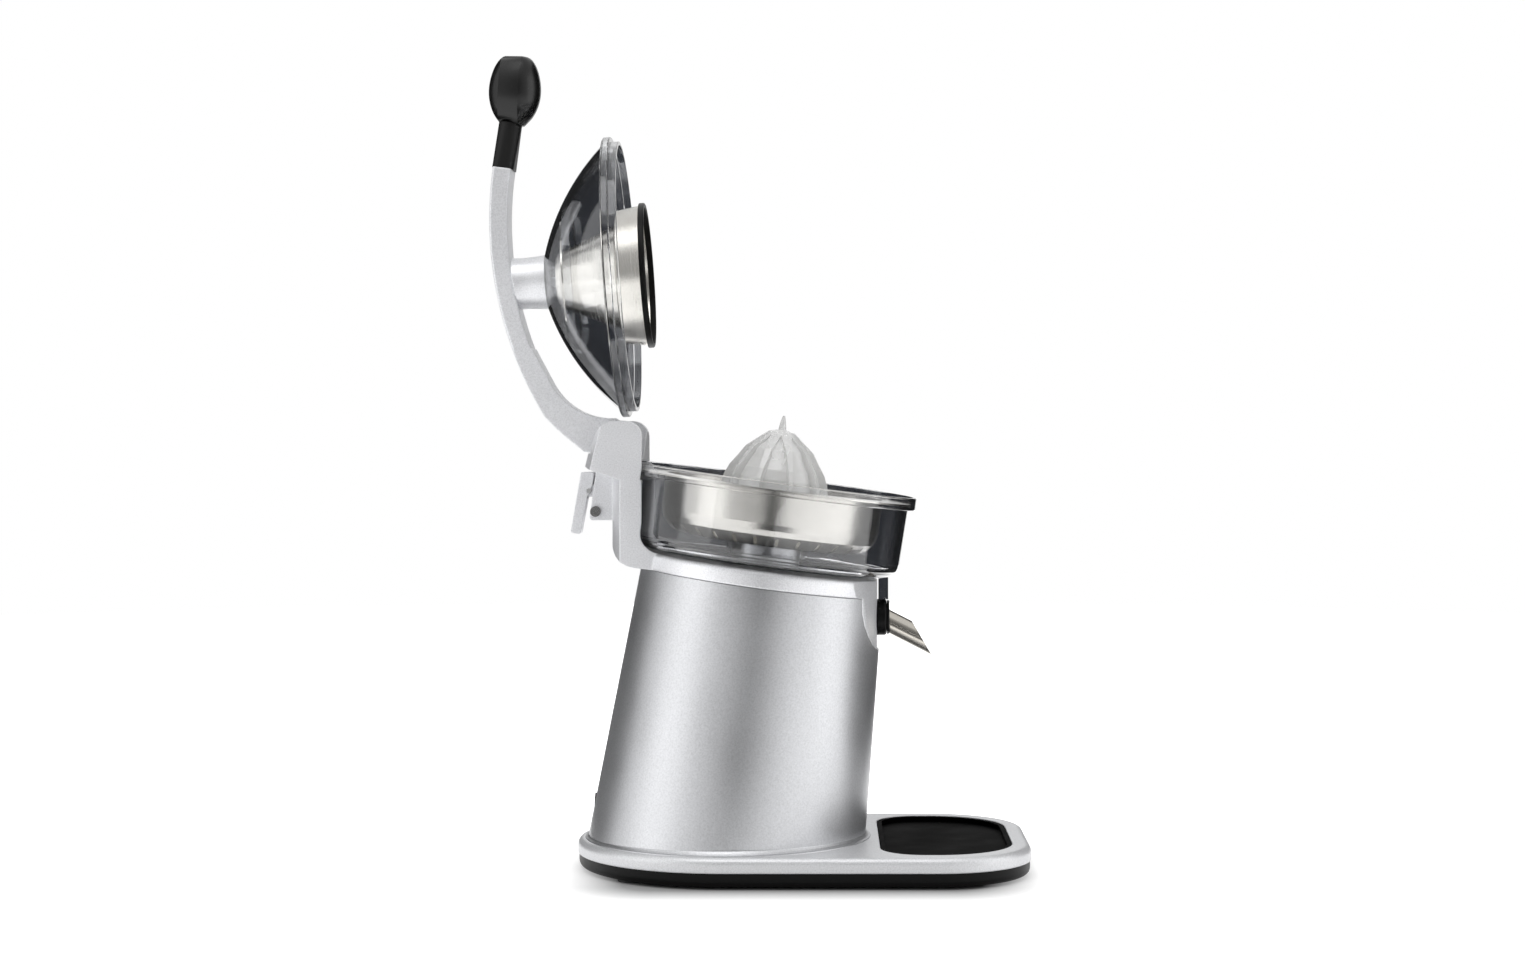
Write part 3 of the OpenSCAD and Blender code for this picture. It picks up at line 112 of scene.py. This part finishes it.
class Shader(Graph):
    """The node tree of a new material, round its Principled shader."""

    def __init__(self, name):
        self.mat = bpy.data.materials.new(name)
        self.mat.use_nodes = True
        super().__init__(self.mat.node_tree)
        self.bsdf = self.tree.nodes["Principled BSDF"]
        self.coord = self.add("ShaderNodeTexCoord").outputs["Object"]

    def set(self, **values):
        """Uniform values, set on the shader's own sockets."""
        for key, value in values.items():
            self.bsdf.inputs[key.replace("_", " ")].default_value = value

    def mapped(self, key, value):
        """Coordinates moved or scaled by a value."""
        node = self.add("ShaderNodeMapping")
        node.inputs[key].default_value = value
        self.link(self.coord, node.inputs["Vector"])
        return node.outputs["Vector"]

    def noise(self, scale, detail, rough=0.5, source=None):
        node = self.add("ShaderNodeTexNoise")
        node.inputs["Scale"].default_value = scale
        node.inputs["Detail"].default_value = detail
        node.inputs["Roughness"].default_value = rough
        self.link(source or self.coord, node.inputs["Vector"])
        return node.outputs["Fac"]

    def line_noise(self, direction, scale):
        """Noise that only changes along a direction, like the rings left by spinning."""
        joined = self.add("ShaderNodeCombineXYZ")
        self.link(self.vector_math("DOT_PRODUCT", self.coord, direction)["Value"], joined.inputs["X"])
        return self.noise(scale, detail=4.0, rough=0.6, source=joined.outputs["Vector"])

    def mixed(self, a, b, share):
        """The share of a, and the rest of b."""
        return self.math("ADD", self.math("MULTIPLY", a, share), self.math("MULTIPLY", b, 1 - share))

    def colour(self, value, stops):
        """Base colour from a ramp with stops of place and colour."""
        node = self.add("ShaderNodeValToRGB")
        ramp = node.color_ramp
        while len(ramp.elements) < len(stops):
            ramp.elements.new(0.5)
        for element, (place, colour) in zip(ramp.elements, stops):
            element.position = place
            element.color = (*colour, 1.0)
        self.link(value, node.inputs["Fac"])
        self.link(node.outputs["Color"], self.bsdf.inputs["Base Color"])

    def varied(self, value, base, low_share, high_share, reach=NOISE_REACH):
        """Base colour that goes from darker to lighter, over the reach round the middle value."""
        self.colour(value, [(MIDDLE - reach, tuple(c * low_share for c in base)), (MIDDLE, base),
                            (MIDDLE + reach, tuple(min(1.0, c * high_share) for c in base))])

    def rough(self, value, low, high):
        spread = self.ranged(value, MIDDLE - NOISE_REACH, MIDDLE + NOISE_REACH, low, high)
        self.link(spread, self.bsdf.inputs["Roughness"])

    def bump(self, value, height, edge=0.0):
        """Bump of that height, on normals rounded over the edge."""
        node = self.add("ShaderNodeBump")
        node.inputs["Distance"].default_value = height
        self.link(value, node.inputs["Height"])
        if edge:
            soft = self.add("ShaderNodeBevel", samples=4)
            soft.inputs["Radius"].default_value = edge
            self.link(soft.outputs["Normal"], node.inputs["Normal"])
        self.link(node.outputs["Normal"], self.bsdf.inputs["Normal"])


def grey(value):
    return (value, value, value)


# Scale of the slow changes in each kind of material
PAINT_CLOUD = 14.0
PLASTIC_CLOUD = 30.0
METAL_CLOUD = 25.0
CLEAR_HAZE = 60.0
FLOW_MARKS = 80.0
# Shares of the fine noise in the colour, and of the flakes' scale in the bump of the paint
FLAKE_SHARE = 0.8
CLOUD_SHARE = 0.6
LINE_SHARE = 0.7
PAINT_BUMP_SHARE = 0.7
# Flakes change colour over less of their noise than the rest
FLAKE_REACH = 0.16
PLASTIC_IOR = 1.46


# Kinds of material
def painted(name, base, rough, metallic, flake, height, edge=0.0):
    """Metallic paint: fine flakes, a slow cloudiness and a soft edge."""
    g = Shader(name)
    flakes = g.noise(flake, detail=2.0, rough=0.7)
    cloud = g.noise(PAINT_CLOUD, detail=3.0)
    g.varied(g.mixed(flakes, cloud, FLAKE_SHARE), base, low_share=0.88, high_share=1.1,
             reach=FLAKE_REACH)
    g.rough(cloud, low=rough - 0.04, high=rough + 0.05)
    g.set(Metallic=metallic, Coat_Weight=0.12, Coat_Roughness=0.25)
    g.bump(g.noise(flake * PAINT_BUMP_SHARE, detail=2.0), height, edge)
    return g.mat


def moulded(name, base, rough, grain, height, spread=0.25, coat=0.0, edge=0.0, sheen=0.5):
    """Moulded plastic or rubber with a fine grain and faint handling marks."""
    g = Shader(name)
    cloud = g.noise(PLASTIC_CLOUD, detail=4.0)
    fine = g.noise(grain, detail=3.0)
    g.varied(g.mixed(cloud, fine, CLOUD_SHARE), base, 1 - spread, 1 + spread)
    g.rough(cloud, low=rough - 0.05, high=rough + 0.07)
    g.set(Specular_IOR_Level=sheen, Coat_Weight=coat, Coat_Roughness=0.2)
    g.bump(fine, height, edge)
    return g.mat


def metal(name, base, rough, axis, lines, height=0.00001, spread=0.1, grain=0.065):
    """Bare metal with the fine lines left by turning or drawing along one direction."""
    g = Shader(name)
    line = g.line_noise(axis, lines)
    mix = g.mixed(line, g.noise(METAL_CLOUD, detail=3.0), LINE_SHARE)
    g.varied(mix, base, 1 - spread, 1 + spread)
    g.rough(mix, low=rough - grain, high=rough + grain)
    g.set(Metallic=1.0)
    g.bump(line, height)
    return g.mat


# Painted shade of a clear wall, standing in for the dark surroundings seen in it edge-on: shares of the
# tint that the wall keeps, from seen square on to seen along the wall
EDGE_SHADE_SHARES = [(0.0, 1.0), (0.4, 0.97), (0.6, 0.8), (0.8, 0.3), (0.92, 0.05)]


def clear(name, tint):
    """Clear plastic with painted shade where it is seen along its wall, standing in for the dark
    surroundings it would show there.
    """
    g = Shader(name)
    facing = g.add("ShaderNodeLayerWeight")
    facing.inputs["Blend"].default_value = 0.5
    haze = g.noise(CLEAR_HAZE, detail=3.0)
    stops = [(place, tuple(c * share for c in tint)) for place, share in EDGE_SHADE_SHARES]
    # Painted shade: the colour darkens as the wall is seen more edge-on
    g.colour(facing.outputs["Facing"], stops)
    g.rough(haze, low=0.02, high=0.05)
    g.set(Transmission_Weight=1.0, IOR=PLASTIC_IOR, Specular_IOR_Level=0.5)
    g.bump(haze, height=0.00003)
    return g.mat


# Flow marks are long and upright, and go through three shades of off-white
FLOW_STRETCH = (1.0, 1.0, 0.25)
CREAM_STOPS = [(0.3, (0.88, 0.88, 0.87)), (0.5, (0.94, 0.94, 0.93)), (0.7, (0.97, 0.97, 0.96))]


def translucent(name):
    """Off-white plastic that lets some light through, with faint flow marks."""
    g = Shader(name)
    flow = g.noise(FLOW_MARKS, detail=4.0, source=g.mapped("Scale", FLOW_STRETCH))
    g.colour(flow, CREAM_STOPS)
    g.rough(flow, low=0.2, high=0.3)
    g.set(Transmission_Weight=0.3, IOR=PLASTIC_IOR, Coat_Weight=0.3, Coat_Roughness=0.1,
          Subsurface_Weight=0.3, Subsurface_Scale=0.01, Subsurface_Radius=(1.0, 1.0, 1.0))
    g.bump(flow, height=0.00005)
    return g.mat


# Materials
SILVER = painted("silver_paint", (0.78, 0.785, 0.805), rough=0.42, metallic=0.55, flake=1100.0,
                 height=0.00002, edge=0.0012)
BASE = painted("base_paint", (0.66, 0.665, 0.68), rough=0.46, metallic=0.5, flake=1100.0,
               height=0.00002, edge=0.0012)
BODY = painted("silver_body", (0.52, 0.525, 0.54), rough=0.38, metallic=0.84, flake=900.0,
               height=0.00003)
MOTOR = painted("motor_steel", grey(0.22), rough=0.45, metallic=0.9, flake=1500.0, height=0.00003)
BLACK = moulded("black_plastic", grey(0.004), rough=0.4, grain=1400.0, height=0.00003, edge=0.0008,
                sheen=0.12)
GLOSS = moulded("gloss_black", grey(0.002), rough=0.3, grain=500.0, height=0.000004, coat=0.2,
                sheen=0.25)
GRIP = moulded("grip_black", grey(0.006), rough=0.45, grain=1200.0, height=0.00003, edge=0.001,
               sheen=0.2)
BASIN = moulded("basin_black", grey(0.0006), rough=0.6, grain=1400.0, height=0.00002, edge=0.0008,
                sheen=0.01)
RUBBER = moulded("rubber", grey(0.02), rough=0.7, grain=1800.0, height=0.00004)
NYLON = moulded("gear_plastic", (0.78, 0.75, 0.66), rough=0.5, grain=900.0, height=0.00002,
                spread=0.05)
SWITCH = moulded("switch_plastic", (0.12, 0.02, 0.015), rough=0.4, grain=900.0, height=0.00002)
SMOOTH_LINES = {"height": 0.000002, "spread": 0.04, "grain": 0.012}
STRAINER = metal("strainer_steel", (0.5, 0.487, 0.457), 0.25, LEAN_AXIS, 900.0, **SMOOTH_LINES)
CUP = metal("cup_steel", (0.62, 0.6, 0.56), 0.27, LEVER_AXIS, 900.0, **SMOOTH_LINES)
SPOUT = metal("spout_steel", (0.5, 0.475, 0.43), 0.24, SPOUT_AXIS, 700.0, **SMOOTH_LINES)
STEEL = metal("machined_steel", grey(0.55), 0.3, LEAN_AXIS, 600.0)
SCREW = metal("screw_steel", grey(0.3), 0.25, ACROSS_AXIS, 600.0)
PIN = metal("pin_steel", grey(0.55), 0.3, ACROSS_AXIS, 600.0)
BRASS = metal("gear_brass", (0.78, 0.58, 0.26), 0.3, LEAN_AXIS, 500.0)
BRONZE = metal("bush_bronze", (0.55, 0.38, 0.2), 0.45, LEAN_AXIS, 400.0)
STACK = metal("motor_laminations", grey(0.2), 0.5, LEAN_AXIS, 3000.0, height=0.00004, spread=0.3)
BOWL = clear("bowl_plastic", (0.985, 0.99, 1.0))
DOME = clear("dome_plastic", (0.975, 0.985, 1.0))
CREAM = translucent("cream_plastic")

DRESS = {
    "base_plate": BLACK, "base_shell": BASE, "rubber_feet": RUBBER, "base_screws": STEEL,
    "drip_tray": BASIN, "motor_housing": BODY, "tie_rods": STEEL, "cord_grommet": RUBBER,
    "frame": SILVER, "spout_collar": BLACK, "spout_barrel": BLACK, "spout_tube": SPOUT,
    "gearbox_plate": STEEL, "gear_posts": STEEL, "motor_can": MOTOR, "motor_stator": STACK,
    "motor_bearings": STEEL, "motor_screws": STEEL, "motor_rotor": STACK, "cooling_fan": NYLON,
    "motor_pinion": BRASS, "idler_pin": STEEL, "idler_gear": NYLON, "output_gear": NYLON,
    "gear_bush": BRONZE, "hub_clip": STEEL, "spindle": STEEL, "spindle_spring": STEEL,
    "spindle_bush": BRONZE, "spindle_seal": RUBBER, "switch_body": SWITCH, "switch_plunger": NYLON,
    "bowl": BOWL, "strainer": STRAINER, "reamer": CREAM, "hinge_pin": PIN, "pin_cap": PIN,
    "arm": SILVER, "arm_bushes": BRONZE, "stem": SILVER, "stem_bolt": STEEL, "dome": DOME,
    "press_cup": CUP, "cup_ring": BLACK, "arm_grip": GRIP, "knob": GLOSS, "latch_lever": SILVER,
    "latch_pin": PIN, "lug_screw": SCREW,
}
SMOOTH_ANGLE = math.radians(32)
KNOB_SMOOTH_ANGLE = math.radians(24)


def smooth(obj, angle):
    """Smooth shading, but for edges sharper than the angle."""
    obj.data.shade_smooth()
    obj.data.set_sharp_from_angle(angle=angle)


for name, obj in NODES.items():
    obj.data.materials.clear()
    obj.data.materials.append(DRESS[name])
    smooth(obj, SMOOTH_ANGLE)


# Knob with its flat strips. The hinge and the lever as it is drawn, open
HINGE = (-0.088303, 0.0, 0.273598)
OPEN_DEGREES = 101.4
# End of the arm in the lever's own frame, and how far grip and knob dip below its line
ARM_END = (0.17605, 0.0, 0.06259)
GRIP_DIP_DEGREES = 11.8
KNOB_DIP_DEGREES = 7.0
KNOB_SEAT = (0.0017, 0.0, 0.0285)
# Outline of the knob, as shares of its radius and length, and its size inside the CAD knob
KNOB_R_MM = 16.7
KNOB_LEN_MM = 44.0
KNOB_SHARES = [(0.443, 0), (0.56, 0.05), (0.71, 0.12), (0.83, 0.2), (0.92, 0.29), (0.975, 0.38),
               (1, 0.47), (0.995, 0.56), (0.965, 0.65), (0.91, 0.74), (0.84, 0.82), (0.75, 0.89),
               (0.64, 0.95), (0.54, 0.985)]
INSIDE_SHARE = 0.995
CAP_R_SHARE = 0.85
CAP_LEN_SHARE = 0.999
# Back and front of the flat strips, the share of the radius that they reach, and their bow
FLAT_BACK_MM = -9.4
FLAT_FRONT_MM = 3.6
FLAT_REACH_SHARE = 0.93
FLAT_BOW_SHARE = 0.012
# Points round each rounded and each flat side of a ring, and rings between two of the outline
CURVE_STEPS = 20
FLAT_STEPS = 12
OUTLINE_STEPS = 3


def turn_y(degrees):
    return Matrix.Rotation(math.radians(degrees), 4, "Y")


def knob_matrix():
    """From the knob's own frame, along +Z from the grip, to the frame of the part."""
    lever = Matrix.Translation(HINGE) @ turn_y(TILT_DEGREES - OPEN_DEGREES)
    grip = Matrix.Translation(ARM_END) @ turn_y(GRIP_DIP_DEGREES) @ turn_y(90)
    return lever @ grip @ Matrix.Translation(KNOB_SEAT) @ turn_y(KNOB_DIP_DEGREES - GRIP_DIP_DEGREES)


def smooth_profile(points, steps):
    """Points on a Catmull-Rom curve through the given pairs of radius and height."""
    out = []
    last = len(points) - 1
    for i in range(last):
        p = [points[max(0, min(last, i + k))] for k in (-1, 0, 1, 2)]
        for j in range(steps):
            t = j / steps
            out.append(tuple(
                0.5 * (2 * p[1][c] + (p[2][c] - p[0][c]) * t
                       + (2 * p[0][c] - 5 * p[1][c] + 4 * p[2][c] - p[3][c]) * t * t
                       + (3 * p[1][c] - p[0][c] - 3 * p[2][c] + p[3][c]) * t ** 3)
                for c in (0, 1)))
    return out + [points[-1]]


def curve(r, start, end):
    """Points round a circle from one angle to another, without the last."""
    angles = [start + (end - start) * i / CURVE_STEPS for i in range(CURVE_STEPS)]
    return [(r * math.cos(a), r * math.sin(a)) for a in angles]


def strip(r, start, end):
    """Points straight between two angles, with a little bow, without the last."""
    x0, y0 = r * math.cos(start), r * math.sin(start)
    x1, y1 = r * math.cos(end), r * math.sin(end)
    out = []
    for i in range(FLAT_STEPS):
        t = i / FLAT_STEPS
        bow = 1 + FLAT_BOW_SHARE * math.sin(math.pi * t)
        out.append((x0 + (x1 - x0) * t, (y0 + (y1 - y0) * t) * bow))
    return out


def knob_ring(r):
    """One ring of the knob: round, with a flat strip on the near and the far side."""
    back = max(FLAT_BACK_MM, -FLAT_REACH_SHARE * r)
    front = min(FLAT_FRONT_MM, FLAT_REACH_SHARE * r)
    a, b = (math.atan2(math.sqrt(r * r - x * x), x) for x in (front, back))
    turn = 2 * math.pi
    return curve(r, -a, a) + strip(r, a, b) + curve(r, b, turn - b) + strip(r, turn - b, turn - a)


def make_knob():
    outline = [(r * KNOB_R_MM * INSIDE_SHARE, z * KNOB_LEN_MM) for r, z in KNOB_SHARES]
    profile = smooth_profile(outline, OUTLINE_STEPS)
    profile.append((profile[-1][0] * CAP_R_SHARE, KNOB_LEN_MM * CAP_LEN_SHARE))
    place = knob_matrix()
    verts = [place @ Vector((x * MM, y * MM, z * MM)) for r, z in profile for x, y in knob_ring(r)]
    n = 2 * (CURVE_STEPS + FLAT_STEPS)
    top = (len(profile) - 1) * n
    faces = []
    for k in range(0, top, n):
        for i in range(n):
            a, b = k + i, k + (i + 1) % n
            faces.append((a, b, b + n, a + n))
    faces.append(tuple(range(n - 1, -1, -1)))
    faces.append(tuple(top + i for i in range(n)))
    mesh = bpy.data.meshes.new("knob_shape")
    mesh.from_pydata(verts, [], faces)
    mesh.validate()
    mesh.update()
    mesh.materials.append(GLOSS)
    knob = bpy.data.objects.new("knob_shape", mesh)
    bpy.context.scene.collection.objects.link(knob)
    smooth(knob, KNOB_SMOOTH_ANGLE)
    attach(knob, "lever")
    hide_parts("knob")


make_knob()


# Cards of the studio, seen only in reflections and through clear pieces: the name, the place, the
# turn about the upright or None for a card that lies on the floor, and the size
DARK = (0.01, 0.01, 0.01)
CARD_Z = 0.002
CARDS = [
    ("card_left", (-0.85, 0.8, 0.6), 45, (1.25, 1.6)),
    ("card_right", (0.85, 0.8, 0.6), -45, (1.25, 1.6)),
    ("card_low_left", (-0.85, 0.7, CARD_Z), None, (1.3, 1.3)),
    ("card_low_right", (0.9, 0.7, CARD_Z), None, (1.3, 1.3)),
    ("card_low_front", (0.02, -1.25, CARD_Z), None, (0.36, 1.9)),
    ("card_front", (0.05, -2.3, 0.6), 0, (6.0, 3.4)),
]
# The front card glows more and more outwards, between these shares of its width from the middle
GLOW_NEAR_SHARE = 0.03
GLOW_FAR_SHARE = 0.36
CARD_GLOW = (0.05, 0.95)
# A dark ground behind the press, which only rays through clear pieces meet
NIGHT = (0.006, 0.008, 0.014)
FLAG_PLACE = (0.0, 0.3, 0.33)
FLAG_SIZE = (0.5, 0.42)

# Soft lights: the name, the place, the height aimed at, the size and the power in watts
LIGHTS = [
    ("left", (-1.5, -0.75, 0.55), 0.3, (1.0, 1.6), 5.2),
    ("right", (1.6, -0.3, 0.55), 0.3, (1.0, 1.6), 5.6),
    ("top", (-0.1, -0.6, 1.7), 0.2, (1.2, 0.9), 7.5),
]
AMBIENT = 0.62

# Floor: its middle and half size under the base, the distances outside it over which the ground turns
# white, and what glow and colour go to. Near the base the lower glow and the darker colour are a painted
# shadow
FLOOR_R = 2.5
GROUND_MID_X = 0.029
GROUND_HALF = (0.09, 0.075, 0.0)
FADE_NEAR = 0.02
FADE_FAR = 0.09
FLOOR_GLOW = (0.0, 1.05)
FLOOR_PAINTED_SHADOW = (0.4, 0.86)

# Camera at the photo's viewpoint
PHOTO_WIDTH_PX = 1525
SHIFT_PX = (-57.5, -56.0)
LENS_MM = 62.8
SENSOR_MM = 36.0
EYE = (0.0397, -1.703, 0.2822)


def panel(name, place, turn, size, colour, glossy=True):
    """A flat card of the studio that the camera and the lights don't meet."""
    stand = (0, 0, 0) if turn is None else (UPRIGHT, 0, math.radians(turn))
    bpy.ops.mesh.primitive_plane_add(size=1.0, location=place, rotation=stand)
    card = bpy.context.object
    card.name = name
    card.scale = (*size, 1.0)
    g = Shader(name)
    g.set(Base_Color=(*colour, 1.0), Roughness=0.9)
    card.data.materials.append(g.mat)
    card.visible_camera = False
    card.visible_diffuse = False
    card.visible_glossy = glossy
    card.visible_transmission = True
    card.visible_shadow = False
    return g


def fade_card(g):
    """Make a card glow more and more from its upright middle line to its two ends."""
    split = g.add("ShaderNodeSeparateXYZ")
    g.link(g.coord, split.inputs["Vector"])
    side = g.math("ABSOLUTE", split.outputs["X"])
    g.set(Emission_Color=WHITE)
    g.link(g.ranged(side, GLOW_NEAR_SHARE, GLOW_FAR_SHARE, *CARD_GLOW), g.bsdf.inputs["Emission Strength"])


def make_floor():
    """White ground whose colour and glow drop round the base: a painted shadow, on top of the shadow the
    press casts.
    """
    bpy.ops.mesh.primitive_circle_add(vertices=96, radius=FLOOR_R, fill_type="NGON", location=(0, 0, 0))
    floor = bpy.context.object
    floor.name = "floor"
    g = Shader("floor")
    g.set(Roughness=0.95, Specular_IOR_Level=0.0, Emission_Color=WHITE)
    outside = g.mapped("Location", (-GROUND_MID_X, 0.0, 0.0))
    outside = g.vector_math("ABSOLUTE", outside)["Vector"]
    outside = g.vector_math("SUBTRACT", outside, GROUND_HALF)["Vector"]
    outside = g.vector_math("MAXIMUM", outside)["Vector"]
    distance = g.vector_math("LENGTH", outside)["Value"]
    glow = g.ranged(distance, FADE_NEAR, FADE_FAR, *FLOOR_GLOW)
    # Painted shadow: the floor's colour darkens towards the base
    shade = g.ranged(distance, FADE_NEAR, FADE_FAR, *FLOOR_PAINTED_SHADOW)
    g.link(shade, g.bsdf.inputs["Base Color"])
    g.link(g.math("MULTIPLY", g.background_rays(), glow), g.bsdf.inputs["Emission Strength"])
    floor.data.materials.append(g.mat)


def make_world():
    """White background, with less light for the shading of the press."""
    world = bpy.data.worlds.new("studio")
    bpy.context.scene.world = world
    world.use_nodes = True
    g = Graph(world.node_tree)
    back = g.tree.nodes["Background"]
    back.inputs["Color"].default_value = WHITE
    g.link(g.ranged(g.background_rays(), 0.0, 1.0, AMBIENT, 1.0), back.inputs["Strength"])


def softbox(name, place, aim_z, size, power):
    data = bpy.data.lights.new(name, "AREA")
    data.shape = "RECTANGLE"
    data.size, data.size_y = size
    data.energy = power
    lamp = bpy.data.objects.new(name, data)
    bpy.context.scene.collection.objects.link(lamp)
    lamp.location = place
    aim = Vector((0.0, 0.0, aim_z)) - Vector(place)
    lamp.rotation_euler = aim.to_track_quat("-Z", "Y").to_euler()


def make_camera():
    data = bpy.data.cameras.new("camera")
    data.lens = LENS_MM
    data.sensor_width = SENSOR_MM
    data.shift_x = SHIFT_PX[0] / PHOTO_WIDTH_PX
    data.shift_y = SHIFT_PX[1] / PHOTO_WIDTH_PX
    data.clip_start = 0.05
    data.clip_end = 50
    eye = bpy.data.objects.new("camera", data)
    bpy.context.scene.collection.objects.link(eye)
    eye.location = EYE
    eye.rotation_euler = (UPRIGHT, 0, 0)
    bpy.context.scene.camera = eye


make_floor()
make_world()
for name, place, aim_z, size, power in LIGHTS:
    softbox(name, place, aim_z, size, power)
cards = {}
for name, place, turn, size in CARDS:
    cards[name] = panel(name, place, turn, size, DARK)
fade_card(cards["card_front"])
panel("flag_back", FLAG_PLACE, 0, FLAG_SIZE, NIGHT, glossy=False)
make_camera()
bpy.context.scene.view_settings.view_transform = "Standard"
